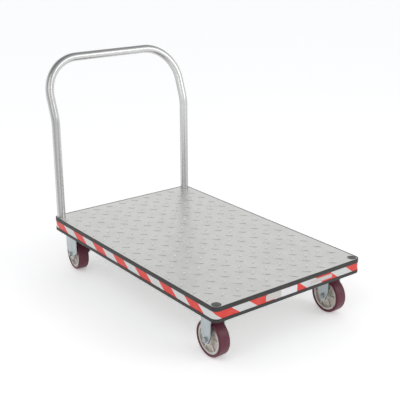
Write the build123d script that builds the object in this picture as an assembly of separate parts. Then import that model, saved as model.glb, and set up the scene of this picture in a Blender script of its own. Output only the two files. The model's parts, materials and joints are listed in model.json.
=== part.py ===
"""Flatbed platform truck: treadplate deck on four casters, with one lift-out push handle.

Millimetres, +Z up. The origin is on the floor under the middle of the deck. The handle stands
at the -X end, and the fixed casters are under the +X (front) end. Left is +Y, right is -Y.
"""
import os
from math import radians, tan

from build123d import *

os.makedirs("parts", exist_ok=True)

# ---------------------------------------------------------------- driving dimensions
deck_length = 1219.2          # over the bumper
deck_width = 762.0            # over the bumper
plate_thickness = 3.2
rail_depth = 54.0
rail_flange = 26.0
rail_thickness = 4.8
cross_flange = 38.0
cross_spacing = 300.0         # from the middle cross member to its neighbours
pad_thickness = 6.35
pad_border = 11.0             # pad beyond the caster plate, towards the middle of the deck

bumper_thickness = 4.5
bumper_drop = 0.5             # top of the bumper below the top of the treadplate
bumper_edge_radius = 1.4
upper_rib = 16.5
tape_width = 30.5
lower_rib = 14.0
tape_recess = 2.0
tape_thickness = 0.4

handle_tube_diameter = 38.1
handle_tube_wall = 3.2
handle_height = 734.5         # top of the handle above the treadplate
handle_knee_height = 458.0    # where the legs bend back, above the treadplate
handle_lean_angle = 19.85     # of the upper part, away from the deck
handle_knee_radius = 200.0
handle_corner_radius = 169.0
socket_wall = 2.8

wheel_diameter = 152.4
tyre_width = 50.8
tyre_thickness = 12.7
tyre_shoulder = 6.5
rim_thickness = 8.5
rim_width = 45.0
web_thickness = 26.0
rib_count = 6
rib_thickness = 6.5
rib_width = 37.0
hub_overhang = 5.55           # hub barrel past the tyre's face, each side
barrel_wall = 6.0             # round the bearings
bearing_diameter = 40.0
bearing_width = 12.0
bearing_shoulder = 4.0        # radial step that stops each bearing inside the hub
bush_diameter = 20.0
axle_diameter = 12.7
axle_head_across_flats = 19.0
axle_head_height = 8.0

caster_plate_length = 114.3
caster_plate_width = 101.6
caster_plate_thickness = 6.35
caster_plate_corner = 8.0
bolt_spacing_x = 92.1
bolt_spacing_y = 66.7
caster_bolt_diameter = 9.5
caster_bolt_across_flats = 14.3
caster_bolt_head_height = 6.2
bolt_to_flange = 8.15         # caster bolt from the side rail's flange
bolt_to_socket = 8.0          # caster bolt from the corner socket, along the deck
swivel_setback = 9.0          # swivel casters further in than the fixed ones
wheel_headroom = 16.1         # tyre to the underside of the swivel fork's crown
swivel_lead = 38.0            # axle behind the king pin
swivel_rest_angle = -7.0     # the way the swivel casters happen to point
leg_thickness = 5.0
leg_width = 57.5
leg_straight_above_axle = 23.0   # where both forks' legs start to taper
leg_tip_radius = 17.5
swivel_leg_back = 46.0        # rear edge of the swivel fork's leg, behind the axle
swivel_leg_front = 68.0       # its front edge, ahead of the axle
crown_thickness = 6.0
crown_radius = 40.0
raceway_depth = 6.15
race_gap = 3.5
ball_diameter = 9.525
ball_count = 18
ball_circle_radius = 30.0
king_pin_diameter = 12.7
king_pin_head_diameter = 24.0
king_pin_head_height = 3.0
king_nut_across_flats = 19.0
king_nut_height = 8.0
pin_end = 2.0                 # thread showing past each nut

# ---------------------------------------------------------------- clearances
handle_clearance = 0.35       # handle leg in its socket, radial
weld_gap = 0.1                # welded or glued faces
press_gap = 0.02              # pressed fits, radial
running_gap = 0.05            # bearings and the king pin, radial
bolt_gap = 0.4                # bolt in its hole, radial
side_gap = 0.5                # hub to fork leg, each side
ball_gap = 0.1
nut_gap = 0.3                 # swivel nut below the turning crown

# ---------------------------------------------------------------- heights and places
rim_radius = wheel_diameter / 2 - tyre_thickness
hub_length = tyre_width + 2 * hub_overhang
hub_barrel_radius = bearing_diameter / 2 + barrel_wall
leg_inside = hub_length / 2 + side_gap
leg_outside = leg_inside + leg_thickness
axle_height = wheel_diameter / 2
crown_bottom = wheel_diameter + wheel_headroom
crown_top = crown_bottom + crown_thickness
race_top = crown_top + race_gap
ball_height = crown_top + race_gap / 2
caster_plate_bottom = race_top + raceway_depth
caster_height = caster_plate_bottom + caster_plate_thickness

pad_bottom = caster_height
rail_bottom = pad_bottom + pad_thickness
plate_bottom = rail_bottom + rail_depth
deck_top = plate_bottom + plate_thickness
bumper_height = upper_rib + tape_width + lower_rib
bumper_bottom = deck_top - bumper_drop - bumper_height
tape_bottom = bumper_bottom + lower_rib

frame_length = deck_length - 2 * bumper_thickness
frame_width = deck_width - 2 * bumper_thickness
socket_bore_radius = handle_tube_diameter / 2 + handle_clearance
socket_radius = socket_bore_radius + socket_wall
socket_x = frame_length / 2 - socket_radius
socket_y = frame_width / 2 - socket_radius

fixed_inset_x = (bumper_thickness + 2 * socket_radius + bolt_to_socket
                 + bolt_spacing_x / 2)
swivel_inset_x = fixed_inset_x + swivel_setback
caster_inset_y = bumper_thickness + rail_flange + bolt_to_flange + bolt_spacing_y / 2
fixed_x = deck_length / 2 - fixed_inset_x
swivel_x = swivel_inset_x - deck_length / 2
caster_y = deck_width / 2 - caster_inset_y

SIDES = {"left": 1, "right": -1}
ENDS = {"front": 1, "rear": -1}


def save(name, shape):
    """Write one sub-part; a list of solids becomes a group in one file."""
    solids = Compound(children=list(shape)) if isinstance(shape, (list, tuple)) else shape
    solids.label = name
    export_step(solids, f"parts/{name}.step")


def tube(outer_radius, inner_radius, bottom, top):
    """An upright tube about the Z axis."""
    height = top - bottom
    body = Cylinder(outer_radius, height) - Cylinder(inner_radius, height)
    return Pos(0, 0, (bottom + top) / 2) * body


def hexagon(across_flats, bottom, top):
    """An upright hexagonal prism about the Z axis."""
    outline = RegularPolygon(across_flats / 2, 6, major_radius=False)
    return Pos(0, 0, bottom) * extrude(outline, top - bottom)


def rounded_slab(length, width, radius, bottom, top):
    """A flat slab with rounded upright corners, centred on the Z axis."""
    return Pos(0, 0, bottom) * extrude(RectangleRounded(length, width, radius), top - bottom)


# ---------------------------------------------------------------- deck and frame
def frame_outline(growth, bottom, top):
    """The frame's plan outline, grown outwards; its corners stay round about the sockets."""
    size = (frame_length + 2 * growth, frame_width + 2 * growth)
    return rounded_slab(*size, socket_radius + growth, bottom, top)


def socket_places():
    return [Pos(x * socket_x, y * socket_y) for x in ENDS.values() for y in SIDES.values()]


def channel(length, flange):
    """A channel along X: its web stands on the plane Y = 0 and its flanges reach to -Y."""
    block = Box(length, flange, rail_depth, align=(Align.CENTER, Align.MAX, Align.MIN))
    hollow = Box(length, flange, rail_depth - 2 * rail_thickness,
                 align=(Align.CENTER, Align.MAX, Align.MIN))
    return block - Pos(0, -rail_thickness, rail_thickness) * hollow


def rail(length, turn, offset):
    """One rail of the outer frame, coped round the corner sockets."""
    bar = Rot(0, 0, turn) * Pos(0, offset, rail_bottom) * channel(length, rail_flange)
    for place in socket_places():
        bar -= place * Pos(0, 0, rail_bottom) * Cylinder(
            socket_radius + weld_gap, rail_depth, align=(Align.CENTER, Align.CENTER, Align.MIN))
    return bar


def build_deck():
    plate = frame_outline(0, plate_bottom, deck_top)
    for place in socket_places():
        plate -= place * Pos(0, 0, plate_bottom) * Cylinder(
            socket_bore_radius, plate_thickness, align=(Align.CENTER, Align.CENTER, Align.MIN))
    save("tread_plate", plate)

    save("side_rail_left", rail(2 * socket_x, 0, frame_width / 2))
    save("side_rail_right", rail(2 * socket_x, 180, frame_width / 2))
    save("end_rail_front", rail(2 * socket_y, -90, frame_length / 2))
    save("end_rail_rear", rail(2 * socket_y, 90, frame_length / 2))

    cross_length = frame_width - 2 * rail_flange
    for step, name in enumerate(("rear", "middle", "front"), start=-1):
        middle = Pos(step * cross_spacing + cross_flange / 2, 0, rail_bottom)
        save(f"cross_member_{name}", middle * Rot(0, 0, -90) * channel(cross_length, cross_flange))

    for end, x in ENDS.items():
        for side, y in SIDES.items():
            save(f"handle_socket_{end}_{side}", Pos(x * socket_x, y * socket_y) * tube(
                socket_radius, socket_bore_radius, rail_bottom, plate_bottom))


def caster_place(end, side):
    """The middle of a caster, seen from above."""
    return Pos(fixed_x if end == "front" else swivel_x, SIDES[side] * caster_y)


def bolt_places():
    return GridLocations(bolt_spacing_x, bolt_spacing_y, 2, 2)


def bolt_holes(bottom, top):
    radius = caster_bolt_diameter / 2 + bolt_gap
    hole = Pos(0, 0, (bottom + top) / 2) * Cylinder(radius, top - bottom)
    return [place * hole for place in bolt_places()]


def build_pads():
    """Flat plates under the frame's corners; they carry the casters and close the sockets."""
    whole = frame_outline(0, pad_bottom, rail_bottom)
    for end, x in ENDS.items():
        for side, y in SIDES.items():
            inset_x = fixed_inset_x if end == "front" else swivel_inset_x
            length = inset_x - bumper_thickness + caster_plate_length / 2 + pad_border
            width = caster_inset_y - bumper_thickness + caster_plate_width / 2 + pad_border
            corner = Pos(x * (frame_length - length) / 2, y * (frame_width - width) / 2, rail_bottom)
            pad = whole & (corner * Box(length, width, 2 * pad_thickness))
            for hole in bolt_holes(pad_bottom, rail_bottom):
                pad -= caster_place(end, side) * hole
            save(f"caster_pad_{end}_{side}", pad)


def mitred(offset, half_length, turn):
    """The room for one length of bumper, cut at 45 degrees through the middle of each corner."""
    half = half_length - weld_gap
    reach = 2 * socket_radius
    corners = [(offset, -half), (offset + reach, -half - reach),
               (offset + reach, half + reach), (offset, half)]
    room = extrude(make_face(Polyline(*corners, close=True)), bumper_height)
    return Rot(0, 0, turn) * Pos(0, 0, bumper_bottom) * room


def build_bumper():
    top = bumper_bottom + bumper_height
    strip = frame_outline(bumper_thickness, bumper_bottom, top)
    rims = strip.edges().group_by(Axis.Z)
    strip = fillet(rims[0] + rims[-1], bumper_edge_radius)
    strip -= frame_outline(weld_gap, bumper_bottom, top)
    groove = frame_outline(bumper_thickness, tape_bottom, tape_bottom + tape_width)
    groove -= frame_outline(bumper_thickness - tape_recess, tape_bottom, tape_bottom + tape_width)
    strip -= groove
    save("bumper_front", strip & mitred(socket_x, socket_y, 0))
    save("bumper_left", strip & mitred(socket_y, socket_x, 90))
    save("bumper_rear", strip & mitred(socket_x, socket_y, 180))
    save("bumper_right", strip & mitred(socket_y, socket_x, 270))

    skin = bumper_thickness - tape_recess + tape_thickness
    slack = press_gap
    band = frame_outline(skin, tape_bottom + slack, tape_bottom + tape_width - slack)
    band -= frame_outline(skin - tape_thickness + slack, tape_bottom, tape_bottom + tape_width)
    save("reflective_tape", band)


# ---------------------------------------------------------------- push handle
def handle_path():
    foot = rail_bottom
    knee = deck_top + handle_knee_height
    top = deck_top + handle_height - handle_tube_diameter / 2
    back = (top - knee) * tan(radians(handle_lean_angle))
    side = [Vector(-socket_x, socket_y, foot), Vector(-socket_x, socket_y, knee),
            Vector(-socket_x - back, socket_y, top)]
    other = [Vector(point.X, -point.Y, point.Z) for point in reversed(side)]
    radii = [handle_knee_radius, handle_corner_radius, handle_corner_radius, handle_knee_radius]
    return FilletPolyline(*side, *other, radius=radii)


def build_handle():
    path = handle_path()
    start = Plane(origin=path @ 0, z_dir=path % 0)
    radius = handle_tube_diameter / 2
    outer = sweep(start * Circle(radius), path=path)
    inner = sweep(start * Circle(radius - handle_tube_wall), path=path)
    save("push_handle", outer - inner)


# ---------------------------------------------------------------- casters
def caster_plate():
    plate = rounded_slab(caster_plate_length, caster_plate_width, caster_plate_corner,
                         caster_plate_bottom, caster_height)
    for hole in bolt_holes(caster_plate_bottom, caster_height):
        plate -= hole
    return plate


def fork_leg(outline, side):
    """A flat leg cut to an outline in X and height, with the axle's hole."""
    outline -= Pos(0, 0) * Circle(axle_diameter / 2 + bolt_gap)
    leg = extrude(outline, leg_thickness / 2, both=True)
    return Pos(0, side * (leg_inside + leg_outside) / 2, axle_height) * Rot(90, 0, 0) * leg


def hull_outline(back, front, low, high):
    """The leg's outline about the axle: a round tip joined to a square-cut top."""
    top = Pos((front - back) / 2, (low + high) / 2) * Rectangle(front + back, high - low)
    return Sketch() + make_hull(Circle(leg_tip_radius).edges() + top.edges())


def fixed_fork():
    rise = caster_plate_bottom - axle_height
    outline = hull_outline(leg_width / 2, leg_width / 2, leg_straight_above_axle, rise)
    crown = Box(leg_width, 2 * leg_outside, crown_thickness,
                align=(Align.CENTER, Align.CENTER, Align.MAX))
    fork = caster_plate() + Pos(0, 0, caster_plate_bottom) * crown
    for side in SIDES.values():
        fork += fork_leg(outline, side)
    return fork


def race_groove():
    return Pos(0, 0, ball_height) * Torus(ball_circle_radius, ball_diameter / 2 + ball_gap)


def swivel_plate():
    """The swivel caster's fixed plate, with the upper ball race under it."""
    ring = Pos(0, 0, (race_top + caster_plate_bottom) / 2) * Cylinder(crown_radius, raceway_depth)
    bore = Pos(0, 0, (race_top + caster_height) / 2) * Cylinder(
        king_pin_diameter / 2 + press_gap, caster_height - race_top)
    recess = Pos(0, 0, caster_height - king_pin_head_height / 2) * Cylinder(
        king_pin_head_diameter / 2 + press_gap, king_pin_head_height)
    return caster_plate() + ring - bore - recess - race_groove()


def swivel_fork():
    """The turning fork, drawn with its axle straight behind the king pin."""
    rise = crown_bottom - axle_height
    outline = hull_outline(swivel_leg_back, swivel_leg_front, leg_straight_above_axle, rise)
    disc = Pos(0, 0, (crown_top + crown_bottom) / 2) * Cylinder(crown_radius, crown_thickness)
    reach = swivel_lead + swivel_leg_back
    bridge_length = swivel_leg_back + swivel_leg_front
    bridge = Pos(bridge_length / 2 - reach, 0, (crown_top + crown_bottom) / 2) * Box(
        bridge_length, 2 * leg_outside, crown_thickness)
    fork = disc + bridge
    for side in SIDES.values():
        fork += Pos(-swivel_lead, 0) * fork_leg(outline, side)
    bore = Pos(0, 0, crown_top - crown_thickness / 2) * Cylinder(
        king_pin_diameter / 2 + running_gap, crown_thickness)
    return fork - bore - race_groove()


def king_pin():
    head_bottom = caster_height - king_pin_head_height
    end = crown_bottom - nut_gap - king_nut_height - pin_end
    pin = Pos(0, 0, (head_bottom + end) / 2) * Cylinder(king_pin_diameter / 2, head_bottom - end)
    head = Pos(0, 0, (caster_height + head_bottom) / 2) * Cylinder(
        king_pin_head_diameter / 2, king_pin_head_height)
    return pin + head


def king_nut():
    top = crown_bottom - nut_gap
    bore = Pos(0, 0, top - king_nut_height / 2) * Cylinder(
        king_pin_diameter / 2 + press_gap, king_nut_height)
    return hexagon(king_nut_across_flats, top - king_nut_height, top) - bore


def balls():
    places = PolarLocations(ball_circle_radius, ball_count)
    return [Pos(0, 0, ball_height) * place * Sphere(ball_diameter / 2) for place in places]


def wheel_parts():
    """The rolling pieces about an upright axis through the wheel's middle."""
    bore = bearing_diameter / 2
    shoulder_bore = bore - bearing_shoulder
    half = hub_length / 2
    hub = tube(rim_radius, rim_radius - rim_thickness, -rim_width / 2, rim_width / 2)
    hub += tube(rim_radius - rim_thickness / 2, shoulder_bore, -web_thickness / 2, web_thickness / 2)
    hub += tube(hub_barrel_radius, shoulder_bore, -half, half)
    rib_inside = bore + barrel_wall / 2
    rib_length = rim_radius - rim_thickness / 2 - rib_inside
    for turn in range(rib_count):
        hub += Rot(0, 0, turn * 360 / rib_count) * Pos(rib_inside + rib_length / 2, 0) * Box(
            rib_length, rib_thickness, rib_width)
    for end in (-1, 1):
        seat = Pos(0, 0, end * (half - bearing_width / 2)) * Cylinder(bore, bearing_width)
        hub -= seat

    width = tyre_width
    section = Pos(wheel_diameter / 2 - tyre_thickness / 2, 0) * Rectangle(tyre_thickness, width)
    section = fillet(section.vertices().group_by(Axis.X)[-1], tyre_shoulder)
    section = section & Pos(wheel_diameter / 2, 0) * Rectangle(
        2 * (tyre_thickness - weld_gap), width)
    tyre = revolve(Plane.XZ * section, Axis.Z)

    ring = tube(bore - press_gap, bush_diameter / 2 + running_gap, half - bearing_width, half)
    bearings = [ring, mirror(ring, Plane.XY)]
    return {"wheel_hub": hub, "tyre": tyre, "wheel_bearings": bearings}


def axle_parts():
    """The pieces that hold the wheel, about the same upright axis; the bolt's head is at -Z."""
    bolt_radius = axle_diameter / 2
    nut_end = leg_outside + axle_head_height
    shank_end = nut_end + pin_end
    shank = Pos(0, 0, (shank_end - leg_outside) / 2) * Cylinder(bolt_radius, shank_end + leg_outside)
    head = hexagon(axle_head_across_flats, -leg_outside - axle_head_height, -leg_outside)
    nut = hexagon(axle_head_across_flats, leg_outside, nut_end)
    nut -= Pos(0, 0, (leg_outside + nut_end) / 2) * Cylinder(bolt_radius + press_gap, axle_head_height)
    bush = tube(bush_diameter / 2, bolt_radius + press_gap, -leg_inside, leg_inside)
    return {"axle_bolt": head + shank, "axle_nut": nut, "axle_bush": bush}


def save_wheel(place, tag, side):
    """Write a wheel and its axle; the bolt's head faces outwards."""
    lie = Pos(0, 0, axle_height) * Rot(90 * side, 0, 0)
    for name, shape in {**wheel_parts(), **axle_parts()}.items():
        if isinstance(shape, list):
            save(f"{name}_{tag}", [place * lie * piece for piece in shape])
        else:
            save(f"{name}_{tag}", place * lie * shape)


def build_casters():
    bolts, nuts = [], []
    radius = caster_bolt_diameter / 2
    grip_bottom = caster_plate_bottom - caster_bolt_head_height
    nut_top = rail_bottom + caster_bolt_head_height
    shank = Pos(0, 0, (caster_plate_bottom + nut_top + pin_end) / 2) * Cylinder(
        radius, nut_top + pin_end - caster_plate_bottom)
    bolt = shank + hexagon(caster_bolt_across_flats, grip_bottom, caster_plate_bottom)
    nut = hexagon(caster_bolt_across_flats, rail_bottom, nut_top)
    nut -= Pos(0, 0, (rail_bottom + nut_top) / 2) * Cylinder(
        radius + press_gap, caster_bolt_head_height)

    for end in ENDS:
        for side, sign in SIDES.items():
            centre = caster_place(end, side)
            bolts += [centre * place * bolt for place in bolt_places()]
            nuts += [centre * place * nut for place in bolt_places()]
            if end == "front":
                save(f"fixed_fork_{side}", centre * fixed_fork())
                save_wheel(centre, f"{end}_{side}", sign)
                continue
            turned = centre * Rot(0, 0, swivel_rest_angle)
            save(f"swivel_plate_{side}", centre * swivel_plate())
            save(f"king_pin_{side}", centre * king_pin())
            save(f"king_nut_{side}", centre * king_nut())
            save(f"swivel_balls_{side}", [centre * ball for ball in balls()])
            save(f"swivel_fork_{side}", turned * swivel_fork())
            save_wheel(turned * Pos(-swivel_lead, 0), f"{end}_{side}", sign)
    save("caster_bolts", bolts)
    save("caster_nuts", nuts)


build_deck()
build_pads()
build_bumper()
build_handle()
build_casters()
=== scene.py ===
"""Dresses the platform truck over its CAD frame: tread lugs, striped edge, tube handle, casters, studio."""
import json
import math

import bmesh
import bpy
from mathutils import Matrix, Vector


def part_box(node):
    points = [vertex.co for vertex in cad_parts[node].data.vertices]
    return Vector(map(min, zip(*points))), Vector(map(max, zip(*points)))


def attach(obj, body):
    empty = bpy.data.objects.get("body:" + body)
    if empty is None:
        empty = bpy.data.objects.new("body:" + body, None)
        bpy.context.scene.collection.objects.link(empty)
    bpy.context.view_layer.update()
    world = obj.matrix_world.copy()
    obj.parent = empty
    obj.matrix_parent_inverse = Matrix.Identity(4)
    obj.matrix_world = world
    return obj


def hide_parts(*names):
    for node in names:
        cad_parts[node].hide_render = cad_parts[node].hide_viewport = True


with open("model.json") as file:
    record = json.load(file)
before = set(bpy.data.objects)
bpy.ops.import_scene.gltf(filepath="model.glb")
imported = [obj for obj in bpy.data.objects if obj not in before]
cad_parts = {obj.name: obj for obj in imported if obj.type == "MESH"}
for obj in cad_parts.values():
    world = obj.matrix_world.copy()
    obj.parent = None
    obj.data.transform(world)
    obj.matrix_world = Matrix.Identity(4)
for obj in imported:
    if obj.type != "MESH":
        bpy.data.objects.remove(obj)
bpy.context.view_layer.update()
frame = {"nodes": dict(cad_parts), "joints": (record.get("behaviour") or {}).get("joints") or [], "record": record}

bl_info = {
    "name": "Flatbed platform truck",
    "version": (1, 0, 0),
    "blender": (4, 5, 0),
    "location": "3D View > Sidebar > Truck",
    "description": "Builds the visible pieces of a treadplate platform truck on its CAD frame",
    "category": "Object",
}

MM = 0.001
SIDES = ("left", "right")
ENDS = ("front", "rear")

# ------------------------------------------------------------ places read from the frame
PLATE_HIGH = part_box("tread_plate")[1]
TAPE_LOW, TAPE_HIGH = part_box("reflective_tape")
SOCKET_LOW, SOCKET_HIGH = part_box("handle_socket_front_left")
HANDLE_LOW, HANDLE_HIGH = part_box("push_handle")
BUMPERS = sorted(name for name in frame["nodes"] if name.startswith("bumper"))
BUMPER_BOTTOM = min(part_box(name)[0].z for name in BUMPERS)
BUMPER_X = max(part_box(name)[1].x for name in BUMPERS)
SOCKET_RADIUS = (SOCKET_HIGH.x - SOCKET_LOW.x) / 2
SOCKET_X = (SOCKET_HIGH.x + SOCKET_LOW.x) / 2
SOCKET_Y = (SOCKET_HIGH.y + SOCKET_LOW.y) / 2
DECK_TOP = PLATE_HIGH.z


# ------------------------------------------------------------ small tools
def linear(code, alpha=1.0):
    """A linear colour from an sRGB hex code."""
    parts = [int(code[i:i + 2], 16) / 255 for i in (1, 3, 5)]
    return tuple(p / 12.92 if p <= 0.04045 else ((p + 0.055) / 1.055) ** 2.4 for p in parts) + (alpha,)


def per(millimetres):
    """Texture scale that gives features of this size on coordinates in metres."""
    return 1000.0 / millimetres


def shade(code, share):
    """The same colour, darkened to this share of its light."""
    return tuple(c * share for c in linear(code)[:3]) + (1.0,)


def feed(tree, node, inputs):
    """Fill a node's inputs, each with a value or the socket that feeds it."""
    for key, value in inputs.items():
        if isinstance(value, bpy.types.NodeSocket):
            tree.links.new(value, node.inputs[key])
        else:
            node.inputs[key].default_value = value


def add(tree, kind, inputs=None, **settings):
    """One node with its settings and inputs."""
    node = tree.nodes.new(kind)
    for name, value in settings.items():
        setattr(node, name, value)
    feed(tree, node, inputs or {})
    return node


def new_material(name):
    """An empty material with its shader joined to the output."""
    material = bpy.data.materials.new(name)
    material.use_nodes = True
    tree = material.node_tree
    tree.nodes.clear()
    shader = add(tree, "ShaderNodeBsdfPrincipled")
    add(tree, "ShaderNodeOutputMaterial", {"Surface": shader.outputs[0]})
    return material, tree, shader


def patterned_material(name):
    """An empty material, and the piece's own coordinates to lay its patterns on."""
    material, tree, shader = new_material(name)
    return material, tree, shader, add(tree, "ShaderNodeTexCoord").outputs["Object"]


def new_object(name, mesh, *materials):
    """A linked object at the origin with its materials."""
    thing = bpy.data.objects.new(name, mesh)
    bpy.context.scene.collection.objects.link(thing)
    for material in materials:
        thing.data.materials.append(material)
    return thing


def dress(node, material):
    """A CAD node keeps its shape and takes a better finish."""
    thing = frame["nodes"][node]
    if not thing.material_slots:
        thing.data.materials.append(material)
    for place in thing.material_slots:
        place.material = material


def place_piece(thing, body, slot, *nodes):
    """Hand a finished piece to the frame: its body, and the CAD nodes that it stands for, which it hides; slot is
    not used.
    """
    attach(thing, body)
    if nodes:
        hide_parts(*nodes)


def body_of(node):
    """The CAD body that carries a node."""
    bodies = frame["record"]["behaviour"]["bodies"]
    return next(body for body, members in bodies.items() if node in members)


def mesh_of(form, name):
    """The mesh that a finished form holds; the form is let go."""
    mesh = bpy.data.meshes.new(name)
    form.to_mesh(mesh)
    form.free()
    return mesh


def edge_loop(name, points, closed=True):
    """A wire mesh through the points, in order."""
    mesh = bpy.data.meshes.new(name)
    count = len(points)
    edges = [(i, (i + 1) % count) for i in range(count if closed else count - 1)]
    mesh.from_pydata([tuple(p) for p in points], edges, [])
    return mesh


def new_tree(name, sockets):
    """A geometry tree with named inputs; sockets lists (name, socket kind, default)."""
    tree = bpy.data.node_groups.new(name, "GeometryNodeTree")
    tree.interface.new_socket("Geometry", in_out="OUTPUT", socket_type="NodeSocketGeometry")
    tree.interface.new_socket("Geometry", in_out="INPUT", socket_type="NodeSocketGeometry")
    for label, kind, default in sockets:
        socket = tree.interface.new_socket(label, in_out="INPUT", socket_type=kind)
        if default is not None:
            socket.default_value = default
    return tree, tree.nodes.new("NodeGroupInput").outputs


def close_tree(tree, geometry, material):
    """Every tree ends by realising its instances and setting its material."""
    real = add(tree, "GeometryNodeRealizeInstances", {"Geometry": geometry})
    painted = add(tree, "GeometryNodeSetMaterial", {"Geometry": real.outputs[0], "Material": material})
    add(tree, "NodeGroupOutput", {"Geometry": painted.outputs[0]})


def grow(name, base, tree, values, material):
    """Run a tree on a base mesh and keep its result as a plain mesh object at the origin."""
    carrier = new_object(name + "_base", base)
    modifier = carrier.modifiers.new("build", "NODES")
    modifier.node_group = tree
    for item in tree.interface.items_tree:
        if item.item_type == "SOCKET" and item.in_out == "INPUT" and item.name in values:
            modifier[item.identifier] = values[item.name]
    carrier.update_tag()
    bpy.context.view_layer.update()
    evaluated = carrier.evaluated_get(bpy.context.evaluated_depsgraph_get())
    mesh = bpy.data.meshes.new_from_object(evaluated)
    mesh.name = name
    bpy.data.objects.remove(carrier)
    mesh.materials.clear()
    return new_object(name, mesh, material)


# ------------------------------------------------------------ materials
def treadplate_metal(colour):
    """Mill-finish rolled aluminium plate: faint rolling lines, cloudy handling marks, soft sheen."""
    material, tree, shader, here = patterned_material("mill_finish_treadplate")
    stretched = add(tree, "ShaderNodeMapping", {"Vector": here, "Scale": (0.05, 1.0, 1.0)})
    lines = add(tree, "ShaderNodeTexNoise", {"Vector": stretched.outputs[0], "Scale": per(3), "Detail": 3.0})
    clouds = add(tree, "ShaderNodeTexNoise", {"Vector": here, "Scale": per(70), "Detail": 5.0})
    scuffs = add(tree, "ShaderNodeTexNoise", {"Vector": here, "Scale": per(9), "Detail": 6.0,
                                              "Roughness": 0.7})
    wear = add(tree, "ShaderNodeMapRange", {"Value": clouds.outputs[0], "From Min": 0.35, "From Max": 0.65})
    dull = shade(colour, 0.94)
    tint = add(tree, "ShaderNodeMix", {0: wear.outputs[0], 6: dull, 7: linear(colour)}, data_type="RGBA")
    gloss = add(tree, "ShaderNodeMapRange", {"Value": scuffs.outputs[0], "From Min": 0.3, "From Max": 0.7,
                                             "To Min": 0.24, "To Max": 0.40})
    both = add(tree, "ShaderNodeMath", {0: lines.outputs[0], 1: scuffs.outputs[0]}, operation="ADD")
    bump = add(tree, "ShaderNodeBump", {"Height": both.outputs[0], "Strength": 0.25, "Distance": 0.05 * MM})
    feed(tree, shader, {"Metallic": 1.0, "Base Color": tint.outputs[2], "Roughness": gloss.outputs[0],
                        "Normal": bump.outputs[0]})
    return material


def lug_metal_with_foot_shade(colour):
    """The lugs' own skin: painted shade darkens each lug's flanks towards its foot, where it meets the plate, and
    the crowns keep the plate's colour.
    """
    material, tree, shader, here = patterned_material("rubbed_treadplate_lug")
    height = add(tree, "ShaderNodeSeparateXYZ", {"Vector": here}).outputs[2]
    # Mask for the painted shade: nought at the lug's foot, one at its crown.
    crown = add(tree, "ShaderNodeMapRange", {"Value": height, "From Min": DECK_TOP,
                                             "From Max": DECK_TOP + 1.1 * MM})
    rub = add(tree, "ShaderNodeTexNoise", {"Vector": here, "Scale": per(5), "Detail": 4.0})
    # Painted shade at the lugs' feet: the colour darkened to 0.62 of its light.
    painted_foot_shade = shade(colour, 0.62)
    tint = add(tree, "ShaderNodeMix", {0: crown.outputs[0], 6: painted_foot_shade, 7: linear(colour)}, data_type="RGBA")
    gloss = add(tree, "ShaderNodeMapRange", {"Value": rub.outputs[0], "From Min": 0.3, "From Max": 0.7,
                                             "To Min": 0.14, "To Max": 0.26})
    feed(tree, shader, {"Metallic": 1.0, "Base Color": tint.outputs[2], "Roughness": gloss.outputs[0]})
    return material


def extruded_aluminium(name="extruded_aluminium", chalk=0.0):
    """Mill-finish aluminium extrusion: dull, with die lines and oxide mottling; chalk makes it whiter."""
    material, tree, shader, here = patterned_material(name)
    stretched = add(tree, "ShaderNodeMapping", {"Vector": here, "Scale": (1.0, 1.0, 8.0)})
    lines = add(tree, "ShaderNodeTexNoise", {"Vector": stretched.outputs[0], "Scale": per(16), "Detail": 4.0})
    oxide = add(tree, "ShaderNodeTexNoise", {"Vector": here, "Scale": per(25), "Detail": 5.0})
    tint = add(tree, "ShaderNodeMix", {0: oxide.outputs[0], 6: linear("#8f9090"), 7: linear("#c4c5c4")},
               data_type="RGBA")
    gloss = add(tree, "ShaderNodeMapRange", {"Value": lines.outputs[0], "From Min": 0.3, "From Max": 0.7,
                                             "To Min": 0.38, "To Max": 0.55})
    bump = add(tree, "ShaderNodeBump", {"Height": lines.outputs[0], "Strength": 0.2, "Distance": 0.1 * MM})
    feed(tree, shader, {"Metallic": 1.0 - chalk, "Base Color": tint.outputs[2],
                        "Roughness": gloss.outputs[0], "Normal": bump.outputs[0]})
    return material


def edge_rubber(colour):
    """Extruded rubber edging: charcoal, satin on the crown of each rib, with a fine grained skin and dust."""
    material, tree, shader, here = patterned_material("extruded_rubber")
    skin = add(tree, "ShaderNodeTexNoise", {"Vector": here, "Scale": per(1.2), "Detail": 3.0})
    dust = add(tree, "ShaderNodeTexNoise", {"Vector": here, "Scale": per(45), "Detail": 6.0,
                                            "Roughness": 0.65})
    veil = add(tree, "ShaderNodeMapRange", {"Value": dust.outputs[0], "From Min": 0.45, "From Max": 0.75,
                                            "To Max": 0.35})
    tint = add(tree, "ShaderNodeMix", {0: veil.outputs[0], 6: linear(colour), 7: linear("#5a5754")},
               data_type="RGBA")
    gloss = add(tree, "ShaderNodeMapRange", {"Value": dust.outputs[0], "From Min": 0.3, "From Max": 0.7,
                                             "To Min": 0.42, "To Max": 0.62})
    bump = add(tree, "ShaderNodeBump", {"Height": skin.outputs[0], "Strength": 0.3, "Distance": 0.08 * MM})
    feed(tree, shader, {"IOR": 1.5, "Base Color": tint.outputs[2], "Roughness": gloss.outputs[0],
                        "Normal": bump.outputs[0]})
    return material


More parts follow.
